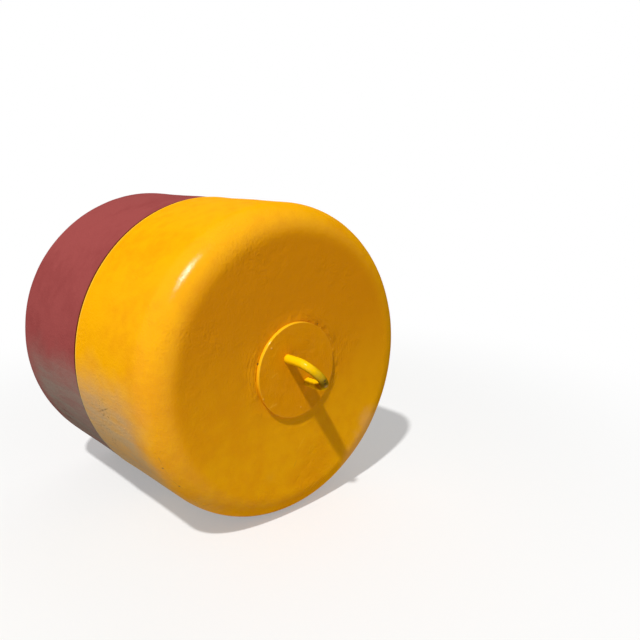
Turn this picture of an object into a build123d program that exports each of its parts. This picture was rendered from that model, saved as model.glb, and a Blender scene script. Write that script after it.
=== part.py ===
from build123d import *
import os

# Foam-filled cylindrical mooring buoy, lying on its side as it is stored ashore.
# The axis of the buoy runs along X, from the red end to the yellow end, and +Z is up.
# The origin is on the ground under the middle of the foam core.

# Body, in millimetres
body_dia = 1500.0
body_length = 1400.0
corner_radius = 140.0
yellow_coat = 10.0
red_coat = 8.8
yellow_length = 660.0
coat_edge_round = 0.8
# The soft body is pressed flat by this much where it lies on the ground
flat_depth = 3.0

# Round steel plate at each end
plate_dia = 450.0
plate_thick = 25.0
plate_edge_round = 6.0

# Steel tube that carries the mooring load from plate to plate
tube_dia = 133.0
tube_wall = 10.0

# Eye bent from round bar, one at each end, whose legs straddle the tube
bar_dia = 42.0
leg_rise = 66.0
leg_root = 220.0
leg_chamfer = 3.0
leg_gap = 2.5
# Turn of the eyes about the axis of the buoy, from +Y towards +Z, in degrees
eye_roll = -50.4

# Gussets behind each plate
gusset_count = 4
gusset_thick = 12.0
gusset_depth = 140.0
gusset_nose = 15.0
gusset_snipe = 14.0
gusset_margin = 20.0

# Welds
ring_weld = 8.0
seam_inset = 7.0
seam_start = 12.0
seam_end = 15.0

# Room left round what is cast in or coated, and round a leg in its hole
bond_gap = 0.3
hole_gap = 0.5

# Sizes that follow from the ones above
body_radius = body_dia / 2
foam_radius = body_radius - yellow_coat
foam_length = body_length - yellow_coat - red_coat
foam_corner = corner_radius - yellow_coat
axis_height = body_radius - flat_depth
seat = foam_length / 2
plate_top = seat + plate_thick
tube_radius = tube_dia / 2
bar_radius = bar_dia / 2
leg_offset = tube_radius + leg_gap + bar_radius
bend_start = plate_top + leg_rise
colour_line = seat + yellow_coat - yellow_length
far = body_dia + body_length


def along_x(radius, x_low, x_high, aside=0.0):
    """Round bar along X whose axis lies aside of the buoy's, towards +Y."""
    middle = (x_low + x_high) / 2
    return Pos(middle, aside, 0) * Rot(0, 90, 0) * Cylinder(radius, x_high - x_low)


def drum(grow):
    """Body of the buoy grown outwards from the foam, with a rounded rim at each end."""
    reach = seat + grow
    body = along_x(foam_radius + grow, -reach, reach)
    return fillet(body.edges().filter_by(GeomType.CIRCLE), foam_corner + grow)


def flatten(body, height):
    """Cuts a body flat along the bottom at a height above the ground."""
    return body - Pos(0, 0, height - axis_height - far / 2) * Box(far, far, far)


def between(body, x_low, x_high):
    """Stretch of a body between two planes across the axis."""
    return body & (Pos((x_low + x_high) / 2, 0, 0) * Box(x_high - x_low, far, far))


def legs(grow=0.0):
    """Both legs of an eye, as two straight bars from the root's end to the bend."""
    low = seat - leg_root - grow
    return [along_x(bar_radius + grow, low, bend_start, side * leg_offset) for side in (-1, 1)]


def eye():
    """Round bar bent to a half circle, with two straight legs that end behind the plate."""
    root = seat - leg_root
    rise = Line((root, -leg_offset, 0), (bend_start, -leg_offset, 0))
    bend = ThreePointArc(
        (bend_start, -leg_offset, 0), (bend_start + leg_offset, 0, 0), (bend_start, leg_offset, 0)
    )
    fall = Line((bend_start, leg_offset, 0), (root, leg_offset, 0))
    section = Plane(origin=(root, -leg_offset, 0), z_dir=(1, 0, 0)) * Circle(bar_radius)
    bar = sweep(section, path=Wire([rise, bend, fall]))
    ends = bar.edges().filter_by(GeomType.CIRCLE).filter_by_position(Axis.X, root - 1, root + 1)
    return chamfer(ends, leg_chamfer)


def end_plate():
    """Round plate with an eased outer rim and a hole for each leg of the eye."""
    plate = along_x(plate_dia / 2, seat, plate_top)
    rim = plate.edges().filter_by(GeomType.CIRCLE).sort_by(Axis.X)[-1]
    plate = fillet(rim, plate_edge_round)
    for leg in legs(hole_gap):
        plate -= leg
    return plate


def gusset(turn, grow=0.0):
    """Flat gusset in the corner between plate and tube, sniped over the ring weld."""
    toe = plate_dia / 2 - gusset_margin
    outline = Polyline(
        (seat - gusset_snipe, tube_radius),
        (seat, tube_radius + gusset_snipe),
        (seat, toe),
        (seat - gusset_nose, toe),
        (seat - gusset_depth, tube_radius + gusset_nose),
        (seat - gusset_depth, tube_radius),
        close=True,
    )
    face = make_face(outline)
    if grow:
        face = offset(face, amount=grow, kind=Kind.INTERSECTION)
    return Rot(turn, 0, 0) * extrude(face, amount=gusset_thick / 2 + grow, both=True)


def gusset_turns():
    """Angles of the gussets about the axis, evenly spaced and clear of the legs."""
    step = 360 / gusset_count
    return [step / 2 + step * i for i in range(gusset_count)]


def plate_weld(grow=0.0):
    """Fillet weld between the tube and the back of the plate, notched by the legs."""
    size = ring_weld + grow
    outline = Polyline(
        (seat, tube_radius), (seat, tube_radius + size), (seat - size, tube_radius), close=True
    )
    ring = revolve(make_face(outline), axis=Axis.X)
    if grow:
        return ring
    ring -= along_x(tube_radius + bond_gap, -seat, seat)
    for leg in legs(bond_gap):
        ring -= leg
    return ring


def leg_seams(grow=0.0):
    """Two weld runs, one for each leg, that fill the space between the tube and the leg."""
    low = seat - leg_root + seam_end - grow
    high = seat - seam_start + grow
    width = bar_dia - 2 * seam_inset + 2 * grow
    depth = leg_offset - tube_radius + tube_wall
    tube = along_x(tube_radius + bond_gap, -seat, seat)
    seams = []
    for side, leg in zip((-1, 1), legs(bond_gap)):
        middle = side * (leg_offset - depth / 2)
        run = Pos((low + high) / 2, middle, 0) * Box(high - low, depth, width)
        seams.append(run if grow else run - tube - leg)
    return seams


def centre_tube():
    """Tube from the back of one plate to the back of the other."""
    return along_x(tube_radius, -seat, seat) - along_x(tube_radius - tube_wall, -seat, seat)


def steel_pocket():
    """Everything behind one end plate, grown by the room that it needs in the foam."""
    pieces = legs(bond_gap) + leg_seams(bond_gap) + [plate_weld(bond_gap)]
    pieces += [gusset(turn, bond_gap) for turn in gusset_turns()]
    return pieces


def foam_core():
    """Closed-cell foam block, moulded round the tube and the steel behind each plate."""
    core = flatten(drum(-bond_gap), yellow_coat + bond_gap)
    core -= along_x(tube_radius + bond_gap, -far, far)
    for piece in steel_pocket():
        placed = Rot(eye_roll, 0, 0) * piece
        core -= placed
        core -= mirror(placed, about=Plane.YZ)
    return core


def hollow(outside):
    """Coat that is left of a body round the foam, flat on the ground and open for the plate."""
    skin = flatten(outside, 0.0) - flatten(drum(0.0), yellow_coat)
    return skin - along_x(plate_dia / 2 + bond_gap, -far, far)


def yellow_skin():
    """Yellow coat, with its edge eased where it stands proud of the red one."""
    outside = between(drum(yellow_coat), colour_line, far)
    edge = outside.edges().filter_by(GeomType.CIRCLE).sort_by(Axis.X)[0]
    return hollow(fillet(edge, coat_edge_round))


def red_skin():
    """Red coat, which ends in a plain butt under the yellow coat's edge."""
    return hollow(between(drum(red_coat), -far, colour_line))


def end_steel():
    """Pieces of the yellow end, by name, standing on the axis of the buoy."""
    pieces = {"end_plate": end_plate(), "mooring_eye": eye(), "plate_weld": plate_weld()}
    pieces["leg_welds"] = Part() + leg_seams()
    for number, turn in enumerate(gusset_turns(), 1):
        pieces[f"gusset_{number}"] = gusset(turn)
    return {name: Rot(eye_roll, 0, 0) * piece for name, piece in pieces.items()}


def buoy():
    """Every piece of the buoy, by name, about an axis through the origin."""
    pieces = {
        "centre_tube": centre_tube(),
        "foam_core": foam_core(),
        "yellow_skin": yellow_skin(),
        "red_skin": red_skin(),
    }
    for name, piece in end_steel().items():
        pieces[f"yellow_{name}"] = piece
        pieces[f"red_{name}"] = mirror(piece, about=Plane.YZ)
    return pieces


os.makedirs("parts", exist_ok=True)
for name, piece in buoy().items():
    export_step(Pos(0, 0, axis_height) * piece, f"parts/{name}.step")
    print(name, round(piece.volume), "mm3")
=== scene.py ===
# %% [markdown]
# # A foam-filled mooring buoy
#
# A mooring buoy floats upright with its yellow end up, and a ship makes fast to the eye on top.
# Ashore it lies on its side, as here. The CAD model has every solid piece at its real size,
# with the foam and the steel that hide inside. This lesson keeps those solids as a fixed frame
# and makes the pieces that show again, with the unevenness and the finish of real ones.

# %% Load the CAD model as a fixed frame
import math

import bpy
import numpy as np
from mathutils import Matrix


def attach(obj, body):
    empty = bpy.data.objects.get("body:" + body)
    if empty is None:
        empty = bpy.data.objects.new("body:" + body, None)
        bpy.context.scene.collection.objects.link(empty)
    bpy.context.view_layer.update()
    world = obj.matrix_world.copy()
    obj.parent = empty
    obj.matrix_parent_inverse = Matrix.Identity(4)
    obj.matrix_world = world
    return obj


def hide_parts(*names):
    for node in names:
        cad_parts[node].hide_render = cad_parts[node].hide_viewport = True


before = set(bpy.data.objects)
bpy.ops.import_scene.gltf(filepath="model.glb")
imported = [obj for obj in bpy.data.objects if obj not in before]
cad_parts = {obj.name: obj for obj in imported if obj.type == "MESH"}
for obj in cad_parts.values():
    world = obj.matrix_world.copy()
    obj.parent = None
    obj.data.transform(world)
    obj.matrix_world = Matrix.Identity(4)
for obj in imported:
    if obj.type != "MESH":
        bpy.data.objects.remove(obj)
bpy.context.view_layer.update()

print("CAD nodes:", len(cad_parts))

# %% [markdown]
# ## The buoy's own coordinates
#
# The axis of the buoy runs along X, a little less than one radius above the ground, because the
# soft body is pressed flat where it lies. Everything that is round is easiest to place by a
# distance along the axis, a distance from it and an angle about it, so that is the first helper.

# %% Positions shared with the CAD model, in metres
axis_height = 0.747
yellow_radius = 0.7498
red_radius = 0.7486
foam_radius = 0.740
yellow_face = 0.7006
red_face = 0.6994
foam_face = 0.6906
colour_line = 0.0406
yellow_corner = 0.140
red_corner = 0.1388
foam_corner = 0.130
coat_thickness = 0.010


def about_axis(x, radius, angle):
    """Point at x along the axis: y is radius times cosine, z is axis height plus radius times sine."""
    return np.stack([x, radius * np.cos(angle), axis_height + radius * np.sin(angle)], axis=-1)


print("top of the yellow coat:", about_axis(0.3, yellow_radius, math.pi / 2).round(4))

# %% [markdown]
# ## From grids of points to pieces
#
# Each piece is one or more grids of points. A grid's faces join neighbouring points, and a grid
# that comes back to its start also joins its last row or column to the first. The shell is then
# turned the right way round by its own volume, so that its faces point outwards.

# %% Grids, shells and pieces


def numbered(points):
    """Table of the numbers of a grid's points, row by row."""
    return np.arange(points[..., 0].size).reshape(points.shape[:2])


def quads(index, wrap_rows=False, wrap_columns=False):
    """Faces between neighbours in a table of point numbers, round to the start where it wraps."""
    if wrap_rows:
        index = np.vstack([index, index[:1]])
    if wrap_columns:
        index = np.hstack([index, index[:, :1]])
    corners = [index[:-1, :-1], index[:-1, 1:], index[1:, 1:], index[1:, :-1]]
    return np.stack(corners, axis=-1).reshape(-1, 4)


def volume(points, faces):
    """Signed volume: a sixth of the corner vectors' triple products, over both halves of each quad."""
    a, b, c, d = (points[faces[:, i]] for i in range(4))
    first = np.einsum("ij,ij->i", a, np.cross(b, c))
    second = np.einsum("ij,ij->i", a, np.cross(c, d))
    return float((first + second).sum() / 6)


def add_object(name, data):
    """Object at the origin, in the scene, that shows some data."""
    made = bpy.data.objects.new(name, data)
    bpy.context.scene.collection.objects.link(made)
    return made


def make_piece(name, points, faces, finish, node, crease=35):
    """Mesh object from points and faces, riding on the buoy in place of its CAD node."""
    litres = volume(points, faces) * 1000
    if litres < 0:
        faces = faces[:, ::-1]
    triangle = faces[:, 2] == faces[:, 3]
    polygons = faces[~triangle].tolist() + faces[triangle][:, :3].tolist()
    mesh = bpy.data.meshes.new(name)
    mesh.from_pydata(points.tolist(), [], polygons)
    mesh.polygons.foreach_set("use_smooth", np.ones(len(polygons), bool))
    mesh.set_sharp_from_angle(angle=math.radians(crease))
    mesh.materials.append(finish)
    piece = add_object(name, mesh)
    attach(piece, "root")
    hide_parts(node)
    print(f"{name}: {len(points)} points, {len(polygons)} faces, {abs(litres):.2f} litres")
    return piece


# %% [markdown]
# ## Unevenness
#
# Nothing on a sprayed or hand-painted buoy is perfectly even. A smooth random field stands for
# that: the sum of plane waves of about one length that run in random directions. Its seed is
# fixed, so the buoy comes out the same every time, and it is worked out for all points at once.

# %% A smooth random field


def waves(points, length, seed, count=18):
    """Sum of sines of plane waves with random directions, scaled so that most values are in -1 to 1."""
    random = np.random.default_rng(seed)
    direction = random.normal(size=(count, 3))
    direction /= np.linalg.norm(direction, axis=1, keepdims=True)
    steepness = 2 * math.pi / length * random.uniform(0.7, 1.4, count)
    phase = random.uniform(0, 2 * math.pi, count)
    total = np.sin(points @ (direction * steepness[:, None]).T + phase).sum(axis=-1)
    return np.clip(total / math.sqrt(2 * count), -1, 1)


def hollow_out(points, *fields):
    """How far a surface falls short of its full size: fields given as depth, length and seed."""
    return sum(depth * (0.5 + 0.5 * waves(points, length, seed)) for depth, length, seed in fields)


sample = waves(np.random.default_rng(1).uniform(-1, 1, (500, 3)), 0.4, 2)
print("field from", sample.min().round(2), "to", sample.max().round(2))

# %% [markdown]
# ## Shader helpers
#
# A finish on this buoy is a stack of small effects: sprayed texture, cloudy tone, dust from the
# ground, scuffs and scratches. An effect that more than one finish can use is a node group. These
# helpers keep them short: one adds a node and fills its inputs, and the others are the sums,
# fades and noises that are needed again and again. Each puts its node into the same tree as the
# results that it is given, so only those that start from nothing have to be told the tree.

# %% Node helpers


def put(kind, inputs=None, tree=None, **settings):
    """Adds a shader node and links or sets its inputs, which are given by name or number."""
    inputs = inputs or {}
    linked = [key for key, value in inputs.items() if isinstance(value, bpy.types.NodeSocket)]
    tree = tree or inputs[linked[0]].id_data
    made = tree.nodes.new("ShaderNode" + kind)
    for name, value in settings.items():
        setattr(made, name, value)
    for key, value in inputs.items():
        if key in linked:
            tree.links.new(value, made.inputs[key])
        else:
            made.inputs[key].default_value = value
    return made


def calc(operation, *values):
    """One Math node."""
    return put("Math", dict(enumerate(values)), operation=operation).outputs[0]


def plus(total, *values):
    """Sum of values."""
    for value in values:
        total = calc("ADD", total, value)
    return total


def times(product, *values):
    """Product of values."""
    for value in values:
        product = calc("MULTIPLY", product, value)
    return product


def vector(operation, first, second=(0, 0, 0), scale=1.0):
    """One Vector Math node, which gives a vector or, for some operations, a number."""
    made = put("VectorMath", {0: first, 1: second, 3: scale}, operation=operation)
    return made.outputs[int(operation in ("DOT_PRODUCT", "DISTANCE", "LENGTH"))]


def fade(value, low, high, start=0.0, end=1.0):
    """Smooth step from start to end while the value goes from low to high."""
    inputs = {"Value": value, "From Min": low, "From Max": high, "To Min": start, "To Max": end}
    return put("MapRange", inputs, interpolation_type="SMOOTHSTEP").outputs[0]


def over(mask, below, above):
    """Lays one colour over another where the mask is 1."""
    return put("Mix", {0: mask, 6: below, 7: above}, data_type="RGBA").outputs[2]


def noise(where, scale, detail=2.0, rough=0.5):
    """Noise of a scale in features per metre, about 0.5 on average."""
    inputs = {"Vector": where, "Scale": scale, "Detail": detail, "Roughness": rough}
    return put("TexNoise", inputs).outputs[0]


def place(tree):
    """Object coordinates, which on this buoy are its own metres."""
    return put("TexCoord", tree=tree).outputs["Object"]


def stretch(where, scale, turn=(0, 0, 0)):
    """Coordinates turned and then scaled per axis, to draw a pattern out along one of them."""
    return put("Mapping", {"Vector": where, "Rotation": turn, "Scale": scale}).outputs[0]


def round_axis(tree):
    """Distance along the buoy's axis, distance from it, angle about it, and height over the ground."""
    along, aside, up = put("SeparateXYZ", {0: place(tree)}).outputs
    above = calc("SUBTRACT", up, axis_height)
    radius = calc("SQRT", plus(times(above, above), times(aside, aside)))
    return along, radius, calc("ARCTAN2", above, aside), up


def effect(name, inputs):
    """Turns a function of a tree and its given sockets, which returns results by name, into a group."""
    given_kinds = {float: "NodeSocketFloat", tuple: "NodeSocketColor", list: "NodeSocketVector"}
    result_kinds = {"VALUE": "NodeSocketFloat", "RGBA": "NodeSocketColor"}

    def make_group(draw):
        group = bpy.data.node_groups.new(name, "ShaderNodeTree")
        for label, value in inputs.items():
            kind = given_kinds[type(value)]
            group.interface.new_socket(label, in_out="INPUT", socket_type=kind).default_value = value
        results = draw(group, group.nodes.new("NodeGroupInput").outputs)
        for label, result in results.items():
            group.interface.new_socket(label, in_out="OUTPUT", socket_type=result_kinds[result.type])
        leave = group.nodes.new("NodeGroupOutput")
        for label, result in results.items():
            group.links.new(result, leave.inputs[label])
        print("group:", name, "with", len(group.nodes), "nodes")
        return group

    return make_group


def use(tree, group, inputs):
    """Puts a node group into a tree with this place's own values. Returns its output sockets."""
    return put("Group", inputs, tree, node_tree=group).outputs


print("node helpers are ready")

# %% [markdown]
# ## Effect: sprayed skin
#
# Sprayed elastomer levels out a little before it sets, and keeps a fine orange peel with slower
# ripples under it. Both are far too fine for the mesh, so they are a height for a Bump node, in
# millimetres. A real coat's peel is flatter, but it would not show in so small a picture.

# %% Sprayed skin: orange peel over slow ripples
ripple_scale = 22.0


@effect("sprayed skin", {"Peel size": 0.009, "Peel depth": 1.9, "Ripple depth": 2.2})
def sprayed_skin(tree, given):
    """Height = a noise of the peel's size times its depth, and the same for the ripples."""
    spot = place(tree)
    peel = noise(spot, calc("DIVIDE", 1.0, given["Peel size"]), 2.0, 0.4)
    ripple = noise(spot, ripple_scale, 2.0, 0.45)
    peel = times(peel, given["Peel depth"])
    return {"Height": plus(peel, times(ripple, given["Ripple depth"]))}


# %% [markdown]
# ## Spray passes on the rim
#
# The rounded rim is sprayed while the buoy turns on a spit, and each pass of the gun leaves faint
# ridges across the rim. They draw the lamp's highlight out into a long grainy streak along it. The
# pattern's coordinates are the angle about the axis, where the ridges are fine, and the distances
# along the axis and from it, where they are long. On the flat face the ridges fade out.

# %% Ridges that run across the rim
ridge_pitch = 0.0045
ridge_length = 0.050
coat_rim_from = 0.60
coat_rim_full = 0.68


def spray_passes(tree, depth):
    """Height of the ridges in millimetres, and a mask that is 1 on the rim and 0 on the flat face."""
    along, radius, angle, _ = round_axis(tree)
    across_rim = calc("DIVIDE", calc("SUBTRACT", along, radius), ridge_length)
    round_rim = times(angle, yellow_radius / ridge_pitch)
    pattern = put("CombineXYZ", {0: across_rim, 1: round_rim}).outputs[0]
    on_rim = fade(radius, coat_rim_from, coat_rim_full)
    return times(noise(pattern, 1.0, 1.0, 0.4), times(on_rim, depth)), on_rim


print("ridges every", ridge_pitch * 1000, "mm")

# %% [markdown]
# ## Effect: cloudy tone
#
# A coat is never one colour. Pigment and film thickness drift over tens of centimetres, and there
# is a finer mottle in it, and fine chalk. The group drifts between two colours that it is given.

# %% Cloudy tone between two colours
white = (1.0, 1.0, 1.0, 1.0)


@effect("cloudy tone", {"Colour": white, "Drift": white, "Size": 0.4, "Amount": 0.5})
def cloudy_tone(tree, given):
    """Mask = a weighted sum of three noises, made steeper about its middle."""
    spot = place(tree)
    clouds = noise(spot, calc("DIVIDE", 1.0, given["Size"]), 3.0, 0.55)
    mottle = noise(spot, 16.0, 4.0, 0.6)
    chalk = noise(spot, 210.0, 2.0, 0.6)
    total = plus(times(clouds, 0.48), times(mottle, 0.30), times(chalk, 0.15))
    mask = times(fade(total, 0.40, 0.60), given["Amount"])
    return {"Colour": over(mask, given["Colour"], given["Drift"])}


# %% [markdown]
# ## Effect: dust from the ground
#
# A buoy that is rolled and parked on a yard picks up dust on its lower sides. It is thickest near
# the ground, thins out upwards with a ragged edge, and lies in streaks along the way it was
# rolled. The end faces never touch the yard, so they stay clean.

# %% Dust that thins out upwards
clean_from = 0.80
dusty_from = 0.56
ragged_aside = 0.25
ragged_down = -0.22
streak_scale = (2.5, 14.0, 22.0)


@effect("ground dust", {"Colour": white, "Dust": white, "Top": 0.8, "Full": 0.3, "Amount": 0.5})
def ground_dust(tree, given):
    """Mask = fades by height and towards the ends, both made ragged, times streaks and grains."""
    spot = place(tree)
    along, _, up = put("SeparateXYZ", {0: spot}).outputs
    ragged = noise(spot, 5.0, 4.0, 0.6)
    from_middle = plus(calc("ABSOLUTE", along), times(ragged, ragged_aside))
    level = plus(up, times(ragged, ragged_down))
    streaks = noise(stretch(spot, streak_scale), 1.0, 3.0, 0.6)
    grains = noise(spot, 90.0, 3.0, 0.7)
    mask = times(
        fade(level, given["Top"], given["Full"]),
        fade(from_middle, clean_from, dusty_from),
        fade(streaks, 0.25, 0.75, 0.62, 1.0),
        fade(grains, 0.3, 0.7, 0.8, 1.0),
        given["Amount"],
    )
    return {"Colour": over(mask, given["Colour"], given["Dust"]), "Mask": mask}


# %% [markdown]
# ## Effects: scratches, spots, patches and scuffs
#
# These sit at real places on the buoy, so each is a shape in its own metres: a scratch is all that
# is near a line, a spot or a patch all that is near a point, and a scuff a patch of short dark
# strokes. Slow noise bends a scratch a little, because a stone doesn't draw with a ruler.

# %% A scratch between two points
scratch_bend = 0.006


@effect("scratch", {"From": [0.0, 0.0, 0.0], "To": [0.1, 0.0, 0.0], "Width": 0.002})
def scratch(tree, given):
    """Mask = full on the line and gone at its width, by the distance to the line's nearest point."""
    spot = place(tree)
    wander = put("TexNoise", {"Vector": spot, "Scale": 35.0, "Detail": 1.0}).outputs[1]
    wander = vector("SUBTRACT", wander, (0.5, 0.5, 0.5))
    spot = vector("ADD", spot, vector("SCALE", wander, scale=scratch_bend))
    line = vector("SUBTRACT", given["To"], given["From"])
    start = vector("SUBTRACT", spot, given["From"])
    products = [vector("DOT_PRODUCT", other, line) for other in (start, line)]
    share = put("Clamp", {"Value": calc("DIVIDE", *products)}).outputs[0]
    nearest = vector("SCALE", line, scale=share)
    apart = vector("LENGTH", vector("SUBTRACT", start, nearest))
    return {"Mask": fade(apart, given["Width"], 0.0)}


# %% A round spot, a ragged patch, and a patch of scuffs
stroke_scale = (38.0, 90.0, 190.0)


@effect("round spot", {"Centre": [0.0, 0.0, 0.0], "Radius": 0.004})
def round_spot(tree, given):
    """Mask = full near the centre and gone at the radius."""
    apart = vector("DISTANCE", place(tree), given["Centre"])
    return {"Mask": fade(apart, given["Radius"], times(given["Radius"], 0.45))}


@effect("ragged patch", {"Centre": [0.0, 0.0, 0.0], "Reach": 0.04, "Grain": 60.0})
def ragged_patch(tree, given):
    """Mask = the same, with its distances made uneven by a noise of so many grains per metre."""
    spot = place(tree)
    apart = vector("DISTANCE", spot, given["Centre"])
    uneven = plus(noise(spot, given["Grain"], 4.0, 0.65), 0.5)
    core = times(given["Reach"], 0.15)
    return {"Mask": fade(times(apart, uneven), given["Reach"], core)}


@effect("scuffs", {"Centre": [0.0, 0.0, 0.0], "Reach": 0.06, "Slant": [0.0, 0.0, 0.0]})
def scuffs(tree, given):
    """Mask = a noise drawn out into strokes, broken up by a slower one, within a patch."""
    spot = place(tree)
    apart = vector("DISTANCE", spot, given["Centre"])
    patch = fade(apart, given["Reach"], times(given["Reach"], 0.35))
    strokes = noise(stretch(spot, stroke_scale, given["Slant"]), 1.0, 2.0, 0.5)
    strokes = fade(strokes, 0.56, 0.66)
    breaks = fade(noise(spot, 26.0, 2.0, 0.6), 0.44, 0.58)
    return {"Mask": times(strokes, breaks, patch, 0.8)}


# %% [markdown]
# ## Effects: brush marks
#
# The steel is painted by brush, and the coat round the plate is touched up the same way. A brush
# leaves long fine ridges. On the steel they run straight, and round the plate they follow its rim,
# which needs the angle about the axis and the distance from it as the pattern's coordinates.

# %% Straight brush marks, and marks that follow the plate
plate_radius = 0.225
touched_radius = 0.32
brush_scale = (120.0, 420.0, 26.0)
ridges_outwards = 85.0
ridges_round = 4.0


@effect("brush marks", {"Turn": [0.0, 0.0, 0.0], "Depth": 1.3})
def brushed(tree, given):
    """Height = a noise drawn out along one direction, times the depth."""
    fine = stretch(place(tree), brush_scale, given["Turn"])
    return {"Height": times(noise(fine, 1.0, 3.0, 0.55), given["Depth"])}


@effect("touch-up round the plate", {"Depth": 11.0})
def touch_up(tree, given):
    """Height = a noise drawn out round the axis, times the depth, in patches next to the plate."""
    along, radius, angle, _ = round_axis(tree)
    drawn_out = {0: times(radius, ridges_outwards), 1: times(angle, ridges_round), 2: along}
    pattern = put("CombineXYZ", drawn_out).outputs[0]
    ridge = times(noise(pattern, 1.0, 3.0, 0.5), given["Depth"])
    near = fade(radius, touched_radius, plate_radius)
    patches = fade(noise(place(tree), 9.0), 0.4, 0.62)
    return {"Height": times(ridge, times(near, patches))}


# %% [markdown]
# ## Finish: yellow elastomer
#
# Safety yellow is nearly pure red and green light with no blue at all, so its blue stays almost
# zero and its gloss is kept low, or reflected sky would wash it out. A thin film gives the gloss,
# on the rim most of all, and dust takes it away. The end face is painted a darker amber towards
# its top, as painted shade, and a thin pale line painted on the yellow edge at the colour line is
# a painted highlight of the step there. Here and there the peel is coarse.
# All heights are in millimetres, and one Bump node turns their sum into relief.

# %% Colours of the coat and its marks
yellow = (0.90, 0.405, 0.0012, 1.0)
yellow_drift = (0.82, 0.320, 0.0012, 1.0)
# painted shade: the darker amber for the top of the end face
painted_shade_amber = (0.67, 0.236, 0.001, 1.0)
dark_mark = (0.045, 0.032, 0.022, 1.0)
pale_mark = (1.0, 0.56, 0.05, 1.0)
pink_mark = (0.62, 0.26, 0.16, 1.0)
nib_paint = (0.95, 0.48, 0.09, 1.0)
brown_mark = (0.22, 0.10, 0.05, 1.0)
yard_dust = (0.46, 0.37, 0.25, 1.0)
edge_dust = (0.85, 0.46, 0.22, 1.0)
print("yellow as red, green and blue light:", yellow[:3])

# %% Materials from a stack of effects


def new_finish(name):
    """Material with a Principled BSDF and nothing else that matters. Returns all three."""
    material = bpy.data.materials.new(name)
    material.use_nodes = True
    tree = material.node_tree
    return material, tree, tree.nodes["Principled BSDF"]


def bump(height):
    """Turns a height in millimetres into a normal."""
    return put("Bump", {"Height": height, "Distance": 0.001, "Strength": 1.0}).outputs[0]


def dress(shader, colour, rough, height):
    """Links a colour, a roughness and a height in millimetres to a shader."""
    for name, value in {"Base Color": colour, "Roughness": rough, "Normal": bump(height)}.items():
        shader.id_data.links.new(value, shader.inputs[name])


def gloss_film(shader, weight, rough, worn, ripple):
    """Thin rippled gloss on a matt body, gone where it is worn and faded where it is seen edge on."""
    tree = shader.id_data
    edge_on = put("LayerWeight", {"Blend": 0.5}, tree).outputs["Facing"]
    left = fade(worn, 0.0, 1.0, 1.0, 0.15)
    film = times(fade(edge_on, 0.15, 0.62, 1.0, 0.05), weight, left)
    tree.links.new(film, shader.inputs["Coat Weight"])
    tree.links.new(bump(ripple), shader.inputs["Coat Normal"])
    shader.inputs["Coat Roughness"].default_value = rough
    shader.inputs["Specular IOR Level"].default_value = 0.0


def marked(tree, colour, height, marks):
    """Lays marks over a colour and a height, each from its group and the group's own inputs."""
    for group, tint, strength, depth, *values in marks:
        mask = use(tree, group, dict(enumerate(values)))[0]
        colour = over(times(mask, strength), colour, tint)
        height = plus(height, times(mask, depth))
    return colour, height


# %% Yellow elastomer
coat_marks = [
    # group, colour, strength, depth in millimetres, then the group's own inputs in their order
    # The first two dark spots are pinholes: dirt with painted shade in the hollow
    (round_spot, dark_mark, 0.85, -1.2, (0.7020, -0.2135, 0.8240), 0.0075),
    (round_spot, dark_mark, 0.60, -1.0, (0.7016, 0.1440, 0.9370), 0.0055),
    (round_spot, pale_mark, 0.70, 0.6, (0.7016, 0.1590, 0.9160), 0.0045),
    (round_spot, pale_mark, 0.55, 0.6, (0.7016, 0.2260, 0.8470), 0.0045),
    (round_spot, pale_mark, 0.55, 0.6, (0.7016, 0.2400, 0.7940), 0.0045),
    (round_spot, pink_mark, 0.70, 0.6, (0.7010, 0.108, 0.541), 0.0055),
    (scratch, pale_mark, 0.30, 0.2, (0.7006, 0.045, 0.395), (0.7006, -0.012, 0.332), 0.0035),
    (scratch, pale_mark, 0.30, 0.2, (0.7006, 0.085, 0.335), (0.7006, 0.062, 0.300), 0.0030),
    (scratch, dark_mark, 0.20, -0.1, (0.7006, -0.010, 0.290), (0.7006, -0.030, 0.262), 0.0030),
    (scratch, brown_mark, 0.45, -0.4, (0.636, -0.691, 0.520), (0.632, -0.650, 0.420), 0.0035),
    (scratch, brown_mark, 0.35, -0.3, (0.632, -0.640, 0.400), (0.645, -0.600, 0.345), 0.0030),
    (round_spot, brown_mark, 0.60, -0.5, (0.630, -0.675, 0.463), 0.007),
    (round_spot, brown_mark, 0.60, -0.5, (0.642, -0.612, 0.361), 0.006),
    (scuffs, dark_mark, 0.50, -0.1, (0.660, -0.520, 0.245), 0.060, (0.8, 0.0, 0.0)),
    (scratch, dark_mark, 0.40, -0.2, (0.208, -0.738, 0.612), (0.262, -0.742, 0.634), 0.0055),
    (scratch, dark_mark, 0.55, -0.2, (0.245, -0.741, 0.628), (0.322, -0.745, 0.660), 0.0050),
    (scratch, dark_mark, 0.22, -0.1, (0.180, -0.749, 0.706), (0.239, -0.749, 0.703), 0.0040),
    (scuffs, dark_mark, 0.75, -0.1, (0.268, -0.742, 0.639), 0.075, (0.0, 0.35, 0.0)),
    (scuffs, dark_mark, 0.90, -0.1, (0.219, -0.703, 0.487), 0.105, (0.0, -0.2, 0.0)),
    (scuffs, dark_mark, 0.35, -0.1, (0.180, -0.738, 0.610), 0.060, (0.0, 0.9, 0.0)),
    (ragged_patch, edge_dust, 0.45, 0.0, (0.645, 0.515, 0.310), 0.15, 14.0),
    (ragged_patch, edge_dust, 0.45, 0.0, (0.645, 0.400, 0.180), 0.14, 14.0),
]
shade_from, shade_full = 0.25, 1.10
# painted highlight: a thin pale line on the yellow edge at the colour line
lit_edge_from, lit_edge_full = colour_line + 0.0090, colour_line + 0.0050
coarse_middle = 2.6
ridge_depth = 0.45
flat_film, rim_film, coat_film_rough = 0.08, 0.30, 0.15
dust_dulls = 0.4
yellow_elastomer, tree, shader = new_finish("yellow_elastomer")
spot = place(tree)
along, radius, _, up = round_axis(tree)

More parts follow.
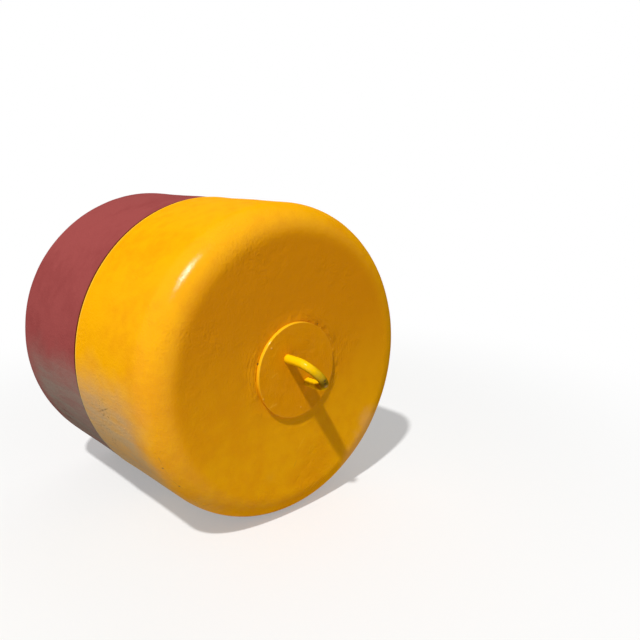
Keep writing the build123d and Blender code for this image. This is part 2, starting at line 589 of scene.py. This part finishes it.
colour = use(tree, cloudy_tone, {"Colour": yellow, "Drift": yellow_drift, "Size": 0.38, "Amount": 0.80})[0]
# Painted shade: the flat end face turns darker amber towards its top
painted_top_shade = times(fade(up, shade_from, shade_full, 0.0, 0.90), fade(radius, 0.70, 0.58))
colour = over(painted_top_shade, colour, painted_shade_amber)
# Painted highlight: the pale line where the step at the colour line catches the light
colour = over(fade(along, lit_edge_from, lit_edge_full, 0.0, 0.8), colour, pale_mark)
dusted = {"Colour": colour, "Dust": yard_dust, "Top": 0.80, "Full": 0.38, "Amount": 0.92}
dust = use(tree, ground_dust, dusted)

skin = use(tree, sprayed_skin, {"Peel size": 0.009, "Peel depth": 1.9, "Ripple depth": 2.2})[0]
coarse = use(tree, sprayed_skin, {"Peel size": 0.012, "Peel depth": 3.6, "Ripple depth": 1.6})[0]
coarse_patches = fade(noise(spot, 3.2, 2.0), 0.48, 0.66)
coarse = times(calc("SUBTRACT", coarse, coarse_middle), coarse_patches)
touched = use(tree, touch_up, {"Depth": 11.0})[0]
ridges, on_rim = spray_passes(tree, ridge_depth)
height = plus(skin, coarse, touched, times(ridges, 0.3))
colour, height = marked(tree, dust["Colour"], height, coat_marks)

film = fade(on_rim, 0.0, 1.0, flat_film, rim_film)
film_ripple = plus(ridges, times(noise(spot, 320.0, 2.0, 0.5), 0.42))
gloss_film(shader, film, coat_film_rough, dust["Mask"], film_ripple)
dull = fade(noise(spot, 7.0, 3.0), 0.3, 0.7, 0.32, 0.42)
dress(shader, colour, plus(dull, times(dust["Mask"], dust_dulls)), height)
print("finish:", yellow_elastomer.name, "with", len(coat_marks), "marks")

# %% [markdown]
# ## Finish: red elastomer
#
# The red half is the same elastomer in a dull oxide red. It chalks in the sun: the surface turns
# matt and a little paler in clouds. Its lower side is grey with dust and has one dark rub mark.
# A thin dark line is painted in the step at the colour line as the step's painted shadow, and the
# gloss is less there.

# %% Red elastomer
red = (0.316, 0.067, 0.063, 1.0)
red_drift = (0.255, 0.048, 0.046, 1.0)
red_yard_dust = (0.27, 0.235, 0.19, 1.0)
# painted shadow: the dark line in the step at the colour line
red_step_shadow = (0.095, 0.018, 0.0005, 1.0)
red_rub = (0.3, 0.2, 0.18, 1.0)
full_step_shadow = 0.92
step_shadow_from, step_shadow_full = colour_line - 0.0180, colour_line - 0.0120
red_film, film_in_step_shadow, red_film_rough = 0.20, 0.03, 0.34
red_dust_dulls = 0.3
red_marks = [
    (scratch, dark_mark, 0.75, -0.2, (-0.362, -0.688, 0.448), (-0.293, -0.685, 0.442), 0.0065),
    (scratch, dark_mark, 0.70, -0.2, (-0.377, -0.662, 0.395), (-0.350, -0.654, 0.380), 0.0065),
    (scuffs, dark_mark, 0.75, -0.1, (-0.350, -0.670, 0.410), 0.14, (0.0, 0.8, 0.0)),
    (scuffs, red_rub, 0.3, 0.0, (-0.150, -0.735, 0.600), 0.10, (0.0, 0.3, 0.0)),
]
red_elastomer, tree, shader = new_finish("red_elastomer")
spot = place(tree)
along, *_ = round_axis(tree)

colour = use(tree, cloudy_tone, {"Colour": red, "Drift": red_drift, "Size": 0.30, "Amount": 0.6})[0]
# Painted shadow: a thin dark line in the step at the colour line, with less gloss there
step_shadow = fade(along, step_shadow_from, step_shadow_full, 0.0, full_step_shadow)
colour = over(step_shadow, colour, red_step_shadow)
dusted = {"Colour": colour, "Dust": red_yard_dust, "Top": 0.78, "Full": 0.44, "Amount": 1.0}
dust = use(tree, ground_dust, dusted)
skin = use(tree, sprayed_skin, {"Peel size": 0.010, "Peel depth": 1.8, "Ripple depth": 2.4})[0]
colour, height = marked(tree, dust["Colour"], skin, red_marks)

film = fade(step_shadow, 0.0, full_step_shadow, red_film, film_in_step_shadow)
film_ripple = times(noise(spot, 140.0, 2.0, 0.5), 0.25)
gloss_film(shader, film, red_film_rough, dust["Mask"], film_ripple)
dull = fade(noise(spot, 6.0, 3.0), 0.3, 0.7, 0.46, 0.58)
dress(shader, colour, plus(dull, times(dust["Mask"], red_dust_dulls)), height)
print("finish:", red_elastomer.name, "with", len(red_marks), "marks")

# %% [markdown]
# ## Finish: painted steel
#
# Plates and eyes are steel painted to match, by brush, over primer. The paint is a little glossier
# than the coat. A paler yellow on the upper left of a plate's rim is a painted highlight, and the
# yellow plate's paint is darker than the eye's, as painted shade for the low light on the end face.
# The lower and inner side of an eye is darker, partly worn and partly painted shade. At the top of
# the yellow eye the shackle has left green-black dirt, with painted shade in it and in the olive
# haze round it, and a bare pinkish spot where the primer shows. Both ends get one builder with
# their own colours.

# %% Painted steel for the plates and the eyes
crown_grime_and_shade = (0.125, 0.072, 0.004, 1.0)
crown_haze_and_shade = (0.48, 0.285, 0.002, 1.0)
bare_primer = (0.70, 0.36, 0.18, 1.0)
# painted highlight for the upper left of a plate's rim
painted_rim_highlight = (0.96, 0.52, 0.010, 1.0)
# darker lower and inner side of an eye: partly wear, partly painted shade
underside_wear_and_shade = (0.22, 0.085, 0.002, 1.0)
thick_film, paint_rough, paint_film_rough = 0.35, 0.28, 0.18
brush_turn, brush_depth = 0.6, 1.3
plate_rim_from = 0.2190
plate_rim_full = 0.2225


def painted_steel(name, paint, drift, highlight_tint, marks, thin_film):
    """Brushed paint on steel, with marks at their own places, glossier where it ran to a plate's rim."""
    finish, tree, shader = new_finish(name)
    spot = place(tree)
    _, radius, *_ = round_axis(tree)
    at_rim = fade(radius, plate_rim_from, plate_rim_full)

    colour = use(tree, cloudy_tone, {"Colour": paint, "Drift": drift, "Size": 0.12, "Amount": 0.5})[0]
    # Painted highlight: paler yellow on the upper left of a plate's rim, on the side towards the lamp
    from_centre = vector("SUBTRACT", spot, (0.0, 0.0, axis_height))
    upper_left = vector("DOT_PRODUCT", from_centre, (0.0, -0.64, 0.77))
    rim_highlight_mask = times(at_rim, fade(upper_left, 0.06, 0.20, 0.1, 0.85))
    colour = over(rim_highlight_mask, colour, highlight_tint)
    # Partly wear and partly painted shade: the lower and inner side of an eye is darker, most of all in
    # the bend
    wear_and_shade = put("Attribute", tree=tree, attribute_name="wear_and_shade").outputs["Fac"]
    wear_and_shade = times(wear_and_shade, fade(noise(spot, 60.0, 3.0), 0.3, 0.6, 0.7, 1.0))
    colour = over(fade(wear_and_shade, 0.05, 0.60, 0.0, 0.9), colour, underside_wear_and_shade)

    skin = use(tree, sprayed_skin, {"Peel size": 0.008, "Peel depth": 1.8, "Ripple depth": 2.0})[0]
    ridges = use(tree, brushed, {"Turn": (brush_turn, 0.0, 0.0), "Depth": brush_depth})[0]
    colour, height = marked(tree, colour, plus(skin, ridges), marks)

    thin = fade(noise(spot, 30.0, 3.0), 0.35, 0.7)
    film_ripple = times(noise(spot, 110.0, 2.0, 0.5), 0.15)
    film = fade(at_rim, 0.0, 1.0, thin_film, thick_film)
    gloss_film(shader, film, paint_film_rough, thin, film_ripple)
    dress(shader, colour, plus(times(thin, 0.15), paint_rough), height)
    print("finish:", name, "with", len(marks), "marks")
    return finish


plate_marks = [
    (round_spot, nib_paint, 0.75, 0.8, (0.7156, -0.146, 0.884), 0.0060),
    (round_spot, nib_paint, 0.70, 0.8, (0.7156, -0.203, 0.662), 0.0055),
    (round_spot, nib_paint, 0.60, 0.8, (0.7156, 0.013, 0.564), 0.0055),
    (scratch, pale_mark, 0.35, 0.5, (0.7156, -0.168, 0.610), (0.7156, -0.130, 0.617), 0.0045),
    (scratch, pale_mark, 0.35, 0.5, (0.7156, -0.163, 0.612), (0.7156, -0.150, 0.624), 0.0040),
    (scratch, pale_mark, 0.25, 0.5, (0.7156, -0.149, 0.750), (0.7156, -0.119, 0.762), 0.0045),
    (scratch, pale_mark, 0.12, 0.4, (0.7156, -0.111, 0.880), (0.7156, -0.136, 0.840), 0.0040),
    (scratch, pale_mark, 0.10, 0.4, (0.7156, -0.132, 0.862), (0.7156, -0.142, 0.832), 0.0035),
]
# The olive haze and the dark patch at the crown are partly dirt and partly painted shade
crown_marks = [
    (ragged_patch, crown_haze_and_shade, 0.75, 0.0, (0.868, -0.006, 0.735), 0.110, 30.0),
    (ragged_patch, crown_grime_and_shade, 0.78, -0.1, (0.878, 0.010, 0.717), 0.052, 90.0),
    (ragged_patch, dark_mark, 0.80, -0.2, (0.890, 0.005, 0.739), 0.010, 160.0),
    (ragged_patch, dark_mark, 0.70, -0.2, (0.886, 0.010, 0.724), 0.010, 160.0),
    (ragged_patch, bare_primer, 0.60, -0.2, (0.880, 0.024, 0.704), 0.014, 120.0),
]
red_plate_marks = [
    (scratch, dark_mark, 0.30, -0.2, (-0.7156, -0.175, 0.600), (-0.7156, -0.130, 0.640), 0.0040),
]
red_crown_marks = [(ragged_patch, dark_mark, 0.60, -0.1, (-0.884, 0.014, 0.722), 0.055, 70.0)]
red_paints = ((0.330, 0.066, 0.060, 1.0), (0.27, 0.050, 0.047, 1.0), red)
# Painted shade: the yellow plate's paint is darker than the eye's, for the low light on the end face
shaded_yellow_plate_paints = ((0.79, 0.308, 0.002, 1.0), (0.74, 0.27, 0.002, 1.0), painted_rim_highlight)
yellow_eye_paints = ((0.96, 0.570, 0.002, 1.0), (0.92, 0.51, 0.002, 1.0), painted_rim_highlight)
yellow_plate_paint = painted_steel("yellow_plate_paint", *shaded_yellow_plate_paints, plate_marks, 0.08)
yellow_eye_paint = painted_steel("yellow_eye_paint", *yellow_eye_paints, crown_marks, 0.35)
red_plate_paint = painted_steel("red_plate_paint", *red_paints, red_plate_marks, 0.15)
red_eye_paint = painted_steel("red_eye_paint", *red_paints, red_crown_marks, 0.35)

# %% [markdown]
# ## Finishes inside the buoy
#
# Foam, tube, gussets and welds keep their CAD solids, because their plain shapes are right. They
# are never seen on the whole buoy, but the library may show them apart, so each has its finish:
# foam with cells, steel with shop primer that lets a little rust through, and ripples on welds.

# %% Closed-cell foam, primed steel and weld metal
foam_finish, tree, shader = new_finish("closed_cell_foam")
spot = place(tree)
cells, blisters = (
    put("TexVoronoi", {"Vector": spot, "Scale": scale}).outputs["Distance"] for scale in (260.0, 45.0)
)
tone = fade(noise(spot, 6.0, 4.0), 0.35, 0.65)
colour = over(tone, (0.78, 0.66, 0.42, 1.0), (0.68, 0.53, 0.30, 1.0))
colour = over(fade(cells, 0.25, 0.6, 0.0, 0.35), colour, (0.45, 0.33, 0.17, 1.0))
height = plus(times(cells, -0.5), times(blisters, -0.8))
dress(shader, colour, fade(cells, 0.2, 0.7, 0.75, 0.92), height)

primed_steel, tree, shader = new_finish("primed_steel")
spot = place(tree)
tone = fade(noise(spot, 9.0, 3.0), 0.35, 0.65)
rust = fade(noise(spot, 24.0, 6.0, 0.65), 0.56, 0.66)
colour = over(tone, (0.20, 0.055, 0.035, 1.0), (0.26, 0.080, 0.050, 1.0))
colour = over(rust, colour, (0.17, 0.055, 0.016, 1.0))
pits = noise(spot, 320.0, 3.0, 0.6)
height = plus(times(pits, 0.15), times(rust, 0.2))
dress(shader, colour, plus(times(rust, 0.25), 0.6), height)

weld_metal, tree, shader = new_finish("weld_metal")
spot = place(tree)
tone = fade(noise(spot, 30.0, 3.0), 0.35, 0.65)
colour = over(tone, (0.24, 0.22, 0.20, 1.0), (0.13, 0.085, 0.055, 1.0))
waving = {"Vector": spot, "Scale": 60.0, "Distortion": 5.0, "Detail": 2.0}
height = times(put("TexWave", waving).outputs["Fac"], 0.5)
dress(shader, colour, fade(tone, 0.0, 1.0, 0.38, 0.62), height)
tree.links.new(fade(tone, 0.0, 1.0, 0.9, 0.55), shader.inputs["Metallic"])
print("finishes:", foam_finish.name, primed_steel.name, weld_metal.name)

# %% Give the CAD pieces inside the buoy their finishes
inside = {"foam_core": foam_finish, "centre_tube": primed_steel}
for end in ("yellow", "red"):
    inside[f"{end}_plate_weld"] = weld_metal
    inside[f"{end}_leg_welds"] = weld_metal
    for number in range(1, 5):
        inside[f"{end}_gusset_{number}"] = primed_steel
for node_name, finish in inside.items():
    for material_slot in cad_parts[node_name].material_slots:
        material_slot.material = finish
print("CAD pieces that keep their shape:", len(inside))

# %% [markdown]
# ## The two coats
#
# Each half of the body has one coat, sprayed over the foam like a cup with a round hole in its
# bottom for the steel plate. In section it is a band: out over the cylinder, round the rim, in
# over the face, a small lip where it was sprayed up against the plate, and back along the foam.
# Carrying that band round the axis gives the whole coat as one closed grid, with no pole.

# %% The section of a coat
plate_hole = 0.2253
lip_height = 0.0014
lip_width = 0.0028
lip_middle = 0.23
coat_columns = 512
face_ring = 0.320


def spokes(angle):
    """Unit vectors: cosine and sine of an angle."""
    return np.stack([np.cos(angle), np.sin(angle)], axis=-1)


def arc(count, centre, radius, start, end):
    """Points on an arc: centre plus radius times the unit vectors of angles in degrees."""
    return np.array(centre) + radius * spokes(np.radians(np.linspace(start, end, count)))


def run(count, start, end):
    """Points on a straight run, without its last one, which the next stretch gives."""
    share = np.linspace(0, 1, count, endpoint=False)[:, None]
    return np.array(start) * (1 - share) + np.array(end) * share


def lip_section(face):
    """Quarter of a hollow ellipse, from the face up to the rim of the plate."""
    turn = np.radians(np.linspace(90, 0, 6))
    rise = face + lip_height * (1 - np.sin(turn))
    return np.stack([rise, plate_hole + lip_width * (1 - np.cos(turn))], axis=-1)


def coat_section(face, radius, corner, butt, edge):
    """Closed section as (distance along the axis, distance from it), in three parts."""
    rim = (face - corner, radius - corner)
    inner_rim = (foam_face - foam_corner, foam_radius - foam_corner)
    outside = [
        arc(4, (butt + edge, radius - edge), edge, 180, 90),
        run(58, (butt + 0.005, radius), (rim[0], radius)),
        arc(28, rim, corner, 90, 0),
        run(34, (face, rim[1] - 0.006), (face, face_ring)),
        run(34, (face, face_ring), (face, plate_hole + lip_width)),
    ]
    inside = [
        run(4, (face, plate_hole), (foam_face, plate_hole)),
        run(6, (foam_face, plate_hole), (foam_face, inner_rim[1])),
        arc(8, inner_rim, foam_corner, 0, 90),
        run(6, (inner_rim[0] - 0.05, foam_radius), (butt, foam_radius)),
        np.array([(butt, foam_radius)]),
    ]
    return np.concatenate(outside), lip_section(face), np.concatenate(inside)


yellow_section = coat_section(yellow_face, yellow_radius, yellow_corner, colour_line, 0.0008)
red_section = coat_section(red_face, red_radius, red_corner, -colour_line, 0.0003)
print("points in a section:", sum(len(part) for part in yellow_section))

# %% [markdown]
# Now the band is carried round. On the outside it sinks in by up to three millimetres, in slow
# dents and quicker ripples, which fade out at the colour line, at the plate and near the ground.
# Pinholes and nibs by the plate are real dents and lumps. Where the buoy lies it is pressed flat:
# nothing of the coat is below the ground, nor is its inside below its own thickness.

# %% Carry the sections round the axis
# depth and length in metres, and seed
coat_dents = (0.0028, 0.42, 11)
coat_ripples = (0.0006, 0.12, 12)
line_fade = 0.08
plate_fade = 0.05
ground_fade = 0.15
pits = [
    # centre, width and depth in metres, where a negative depth is a nib
    ((0.7020, -0.2135, 0.8240), 0.0050, 0.0016),
    ((0.7006, 0.1440, 0.9370), 0.0045, 0.0015),
    ((0.7006, 0.108, 0.541), 0.0040, -0.0012),
    ((0.7006, -0.262, 0.910), 0.0060, 0.0006),
    ((0.7006, 0.215, 0.640), 0.0060, 0.0006),
]


def make_coat(name, sections, face, end, finish, node):
    """Coat as a section carried round the axis: point = section, moved in along its own normal."""
    outside, lip, inside = sections
    section = np.concatenate(sections)
    angle = np.linspace(0, 2 * math.pi, coat_columns, endpoint=False)
    along = np.repeat(section[:, :1], coat_columns, axis=1)
    apart = np.repeat(section[:, 1:], coat_columns, axis=1)
    points = about_axis(along * end, apart, angle)

    step = np.gradient(section, axis=0)
    normal = np.stack([-step[:, 1], step[:, 0]], axis=-1)
    normal /= np.linalg.norm(normal, axis=1, keepdims=True)
    from_line = np.clip((along - section[0, 0]) / line_fade, 0, 1)
    from_plate = np.clip((apart - plate_hole - lip_width) / plate_fade, 0, 1)
    off_ground = np.clip(points[..., 2] / ground_fade, 0, 1)
    sunk = hollow_out(points, coat_dents, coat_ripples)
    sunk *= from_line * from_plate * off_ground
    for centre, width, depth in pits:
        away = np.linalg.norm(points - (centre[0] * end, centre[1], centre[2]), axis=-1)
        sunk += depth * np.exp(-((away / width) ** 2))
    sunk[len(outside):] = 0
    along -= sunk * normal[:, :1]
    apart -= sunk * normal[:, 1:]

    ring = slice(len(outside), len(outside) + len(lip))
    rim_line = about_axis(0 * angle, lip_middle, angle)
    along[ring] = face + (along[ring] - face) * (0.75 + 0.25 * waves(rim_line, 0.10, 13))
    apart[ring] = plate_hole + (apart[ring] - plate_hole) * (0.72 + 0.28 * waves(rim_line, 0.14, 14))

    points = about_axis(along * end, apart, angle)
    lowest = np.zeros(len(section))
    lowest[len(outside) + len(lip):] = coat_thickness
    points[..., 2] = np.maximum(points[..., 2], lowest[:, None])
    faces = quads(numbered(points), wrap_rows=True, wrap_columns=True)
    make_piece(name, points.reshape(-1, 3), faces, finish, node)


make_coat("yellow_coat", yellow_section, yellow_face, 1, yellow_elastomer, "yellow_skin")
make_coat("red_coat", red_section, red_face, -1, red_elastomer, "red_skin")

# %% [markdown]
# ## The end plates
#
# Each plate is a steel disc, flame cut, ground round its rim by hand and painted thick, so the
# rounding of its rim is wider here and narrower there, and catches the light as an uneven line.
# Two legs of the eye pass through it. A disc with two holes isn't a simple grid, but half of it
# is: a grid that runs from one hole out to the half disc's own outline. The other half is the same
# grid turned by half a turn, with its own paint, and their points meet on the line between them.

# %% Half a plate as a grid from a hole outwards
plate_thickness = 0.025
plate_top = foam_face + plate_thickness
leg_hole = 0.0213
collar = 0.0014
leg_offset = 0.090
rim_least = 0.0030
rim_ground = 0.0028
ground_side = math.radians(180)
arc_steps = 160
line_steps = 88
eye_roll = math.radians(-50.4)
across = np.array([math.cos(eye_roll), math.sin(eye_roll)])
upward = np.array([-across[1], across[0]])


def raised(flat, height):
    """Flat points with a height as their third coordinate."""
    return np.concatenate([flat, np.broadcast_to(height, flat.shape[:-1])[..., None]], axis=-1)


def rim_round(angle):
    """How wide the rim is rounded at an angle from the eye's legs: ground widest on one side."""
    circle = raised(plate_radius * spokes(angle), 0.0)
    ground = rim_ground * np.exp(5.0 * (np.cos(angle - ground_side) - 1))
    return rim_least + ground + 0.0005 * waves(circle, 0.20, 21) + 0.0006 * waves(circle, 0.05, 22)


def half_outline(wide, angle):
    """Outline of half a disc: an arc that is so wide at each angle, then the straight line back."""
    bow = wide[:, None] * spokes(angle)
    share = np.linspace(0, 1, line_steps + 1)[1:-1]
    line = np.stack([0 * share, bow[-1, 1] * (1 - share) + bow[0, 1] * share], axis=-1)
    return np.concatenate([bow, line])


def half_plate(turn):
    """Front, rim and back of half a plate as (across, upward, height over the plate's top)."""
    angle = np.linspace(-math.pi / 2, math.pi / 2, arc_steps + 1)
    easing = rim_round(angle + turn)
    front_edge = half_outline(plate_radius - easing, angle)
    back_edge = half_outline(np.full(len(angle), plate_radius), angle)
    hole = np.array([leg_offset, 0.0])
    spoke = spokes(np.arctan2(*(front_edge - hole).T[::-1]))

    bend = np.radians(np.linspace(0, 90, 7))[:, None]
    bite = collar * (1 + 0.25 * waves(raised(spoke, 0.0) + turn, 0.9, 23))
    rings = hole + (leg_hole + bite * (1 - np.cos(bend)))[..., None] * spoke
    share = np.linspace(0, 1, 40)[1:, None, None]
    flat = rings[-1] * (1 - share) + front_edge * share
    front = np.concatenate([raised(rings, bite * (1 - np.sin(bend))), raised(flat, 0.0)])

    fall = np.radians(np.linspace(0, 90, 8))[1:, None]
    wide = plate_radius - easing * (1 - np.sin(fall))
    rim = raised(wide[..., None] * spokes(angle), -easing * (1 - np.cos(fall)))

    share = np.linspace(0, 1, 4)[:, None, None]
    back = raised(back_edge * (1 - share) + (hole + leg_hole * spoke) * share, -plate_thickness)
    if turn:
        for part in (front, rim, back):
            part[..., :2] *= -1
    return front, rim, back


front, rim, back = half_plate(0.0)
print("half a plate:", front.shape[:2], "front,", rim.shape[:2], "rim,", back.shape[:2], "back")

# %% Put the halves together, with uneven paint, nibs and shallow dents
paint_dents = (0.0005, 0.11, 24)
paint_ripples = (0.0002, 0.03, 25)
paint_edge = 0.0008
even_by_leg = 0.027
even_fade = 0.02
nibs = [
    # across the plate from its centre towards +Y and +Z, width, height in metres
    ((-0.146, 0.137), 0.0045, 0.0012),
    ((-0.203, -0.085), 0.0045, 0.0012),
    ((0.013, -0.183), 0.0045, 0.0010),
    ((0.060, -0.150), 0.0060, 0.0005),
    ((-0.060, -0.160), 0.0050, 0.0005),
]


def merge(points, faces, grain=1e-6):
    """Joins points that coincide, by rounding them to a grain and keeping one of each."""
    rounded = np.round(points / grain).astype(np.int64)
    _, keep, number = np.unique(rounded, axis=0, return_index=True, return_inverse=True)
    return points[keep], number.reshape(-1)[faces]


def make_plate(name, end, finish, node):
    """Plate from two half grids: front unevenness = paint field times a fade towards the holes."""
    all_points, all_faces, count = [], [], 0
    for turn in (0.0, math.pi):
        numbers = []
        for part in half_plate(turn):
            numbers.append(count + numbered(part))
            count += numbers[-1].size
            all_points.append(part.reshape(-1, 3))
        front, rim, back = numbers
        bow = rim.shape[1]
        wall = np.vstack([front[-1:, :bow], rim, back[:1, :bow]])
        throat = np.vstack([back[-1:], front[:1]])
        all_faces += [quads(front, wrap_columns=True), quads(wall)]
        all_faces += [quads(back, wrap_columns=True), quads(throat, wrap_columns=True)]
    local = np.concatenate(all_points)
    side = local[:, :1] * across + local[:, 1:2] * upward
    painted = np.clip(local[:, 2] / paint_edge + 1, 0, 1) * (local[:, 2] <= 0)
    from_leg = np.linalg.norm(np.abs(local[:, :2]) - (leg_offset, 0), axis=1)
    painted *= np.clip((from_leg - even_by_leg) / even_fade, 0, 1)
    flat = np.pad(side, ((0, 0), (1, 0)))
    height = local[:, 2] - painted * hollow_out(flat, paint_dents, paint_ripples)
    for centre, width, rise in nibs:
        away = np.linalg.norm(side - centre, axis=1)
        height += painted * rise * np.exp(-((away / width) ** 2))
    points = np.stack([(plate_top + height) * end, side[:, 0], axis_height + side[:, 1]], axis=-1)
    points, faces = merge(points, np.concatenate(all_faces))
    make_piece(name, points, faces, finish, node, crease=50)


make_plate("yellow_plate", 1, yellow_plate_paint, "yellow_end_plate")
make_plate("red_plate", -1, red_plate_paint, "red_end_plate")

# %% [markdown]
# ## The mooring eyes
#
# An eye is a round bar, bent hot to a half circle. Its legs go through the plate and are welded to
# the tube inside the foam. The bar is a circle carried along a path: up one leg, round the bend
# and down the other. A real bar isn't quite round, least of all in the bend, and shackles have worn
# the inside of the crown a little, so the circle's radius falls short by a small field.

# %% A bar carried along legs and bend
bar_radius = 0.021
bar_sides = 56
bar_dents = (0.00035, 0.07, 31)
bar_ripples = (0.00015, 0.018, 32)
root = foam_face - 0.220
bend_start = plate_top + 0.066
end_chamfer = 0.003
crown_wear = 0.0009
bend_squeeze = 0.0005


def eye_path(leg_points=96, bend_points=110):
    """Path and outward direction: straight legs at plus and minus the offset, and the half circle."""
    leg = np.concatenate([[root, root + end_chamfer], np.linspace(root + 0.01, bend_start, leg_points)])
    turn = np.linspace(-math.pi / 2, math.pi / 2, bend_points)[1:-1]
    rise = np.stack([leg, np.full(len(leg), -leg_offset)], axis=-1)
    bend = leg_offset * spokes(turn) + (bend_start, 0)
    out_rise = np.tile([0.0, -1.0], (len(leg), 1))
    path = np.concatenate([rise, bend, rise[::-1] * (1, -1)])
    return path, np.concatenate([out_rise, spokes(turn), -out_rise])


def make_eye(name, end, finish, node):
    """Ring of points = path + radius times (cosine outwards + sine across the eye's own plane)."""
    path, outwards = eye_path()
    around = np.linspace(0, 2 * math.pi, bar_sides, endpoint=False)
    swing = np.cos(around)[None, :, None] * outwards[:, None, :]
    even = raised(path[:, None, :] + bar_radius * swing, bar_radius * np.sin(around))
    short = hollow_out(even, bar_dents, bar_ripples)
    crown = np.clip((path[:, 0] - bend_start) / leg_offset, 0, 1)[:, None]
    wear = crown_wear * crown**6 * np.clip(-np.cos(around), 0, 1) ** 2
    squeeze = bend_squeeze * crown * np.sin(around) ** 2
    radius = bar_radius - short - wear - squeeze
    radius[[0, -1]] -= end_chamfer
    flat = path[:, None, :] + radius[..., None] * swing
    level = radius * np.sin(around)

    side = flat[..., 1:] * across + level[..., None] * upward
    points = np.stack([flat[..., 0] * end, side[..., 0], axis_height + side[..., 1]], axis=-1)
    index = numbered(points)
    middles = points[[0, -1]].mean(axis=1)
    caps = []
    for row, middle, order in ((0, index.size, [1, 0, 2, 2]), (-1, index.size + 1, [0, 1, 2, 2])):
        fan = np.stack([index[row], np.roll(index[row], -1), np.full(bar_sides, middle)], axis=-1)
        caps.append(fan[:, order])
    faces = np.concatenate([quads(index, wrap_columns=True)[:, ::-1], *caps])
    points = np.concatenate([points.reshape(-1, 3), middles])
    piece = make_piece(name, points, faces, finish, node)
    # Mask for the eye's darker lower and inner side, partly wear and partly painted shade
    low_side = np.clip(-0.75 * np.cos(around) - 0.65 * np.sin(around), 0, 1) * (0.35 + 0.65 * crown)
    wear_and_shade = piece.data.attributes.new("wear_and_shade", "FLOAT", "POINT")
    wear_and_shade.data.foreach_set("value", np.append(low_side.ravel(), (0.0, 0.0)))


make_eye("yellow_eye", 1, yellow_eye_paint, "yellow_mooring_eye")
make_eye("red_eye", -1, red_eye_paint, "red_mooring_eye")

# %% [markdown]
# ## Floor, light and camera
#
# The buoy is shown in plain light like a clear day's: one far lamp, high on the left, that grazes
# the yellow face and draws the shadows of the rim and the eye, a broad weak one from behind for
# the far sides, and an even pale surround for the shade. The floor is pale and keeps the buoy's
# shadow. Further out it fades to the white of the backdrop, but only for rays that come from the
# camera or a reflection, so no light is added.

# %% Floor that fades into the white backdrop


def seen_directly(tree):
    """1 for camera rays and for rays that a gloss or a glass sends on, else 0."""
    path = put("LightPath", tree=tree).outputs
    seen = calc("MAXIMUM", path["Is Camera Ray"], path["Is Glossy Ray"])
    return calc("MAXIMUM", seen, path["Is Transmission Ray"])


floor_finish = bpy.data.materials.new("studio_floor")
floor_finish.use_nodes = True
tree = floor_finish.node_tree
tree.nodes.clear()
distance = vector("LENGTH", stretch(place(tree), (1.0, 1.0, 0.0)))
seen = seen_directly(tree)
tone = over(seen, (0.58, 0.58, 0.56, 1.0), (0.84, 0.84, 0.83, 1.0))
pale = put("BsdfDiffuse", {"Color": tone})
glow = put("Emission", {"Color": white, "Strength": 1.0}, tree)
whiteness = times(fade(distance, 1.4, 3.6, 0.35, 1.0), seen)
blended = put("MixShader", {0: whiteness, 1: pale.outputs[0], 2: glow.outputs[0]})
put("OutputMaterial", {"Surface": blended.outputs[0]})

half_floor = 30.0
corners = [(x * half_floor, y * half_floor, 0) for x, y in ((-1, -1), (1, -1), (1, 1), (-1, 1))]
floor_mesh = bpy.data.meshes.new("studio_floor")
floor_mesh.from_pydata(corners, [], [(0, 1, 2, 3)])
floor_mesh.materials.append(floor_finish)
floor = add_object("studio_floor", floor_mesh)
print("floor:", 2 * half_floor, "m square")

# %% Even surround, white where it is seen
surround = bpy.data.worlds.new("pale_surround")
surround.use_nodes = True
tree = surround.node_tree
background = tree.nodes["Background"]
background.inputs["Color"].default_value = white
shade_level = 0.19
strength = put("MapRange", {"Value": seen_directly(tree), "To Min": shade_level, "To Max": 1.0})
tree.links.new(strength.outputs[0], background.inputs["Strength"])
bpy.context.scene.world = surround
print("light from all round:", shade_level)

# %% A far lamp that stands for the sun, and a broad weak one from behind
lamp_towards = np.array([0.265, -0.478, 0.8375])
fill_towards = np.array([-0.55, 0.62, 0.56])


def placed(axes, location):
    """Matrix of an object from its own three axes, as columns, and its location."""
    matrix = Matrix(axes.tolist()).to_4x4()
    matrix.translation = location
    return matrix


def light(name, towards, lit, distance, size, level):
    """Round lamp that shines on a place from a distance. Its power makes up for the distance."""
    data = bpy.data.lights.new(name, "AREA")
    data.shape = "DISK"
    data.size = size
    data.energy = level * math.pi**2 * distance**2
    back = towards / np.linalg.norm(towards)
    right = np.cross((0, 0, 1), back)
    right /= np.linalg.norm(right)
    axes = np.stack([right, np.cross(back, right), back], axis=-1)
    location = np.array(lit) + towards * distance
    add_object(name, data).matrix_world = placed(axes, location)
    print(f"{name}: {data.energy:.0f} W at", location.round(2))


light("soft_lamp", lamp_towards, (yellow_face, 0.0, axis_height), distance=30.0, size=1.3, level=1.05)
light("fill_lamp", fill_towards, (0.0, 0.0, axis_height), distance=12.0, size=14.0, level=0.20)

# %% Camera at the photographer's eye height
camera_data = bpy.data.cameras.new("camera")
camera_data.lens = 37.09
camera_data.sensor_width = 36.0
camera_data.shift_y = 0.047
camera_data.clip_end = 200.0
# Right, up and back as fitted to the photo, to four digits, then squared up
fitted = np.array([(0.6805, 0.7325, -0.0171), (-0.202, 0.210, 0.9566), (0.7043, -0.6475, 0.2909)]).T
axes, _ = np.linalg.qr(fitted)
axes *= np.sign(np.diag(axes.T @ fitted))
camera = add_object("camera", camera_data)
camera.matrix_world = placed(axes, (2.8903, -1.8586, 1.7117))
bpy.context.scene.camera = camera
bpy.context.scene.view_settings.view_transform = "Standard"
print("camera looks along", tuple(-axes[:, 2].round(3)))
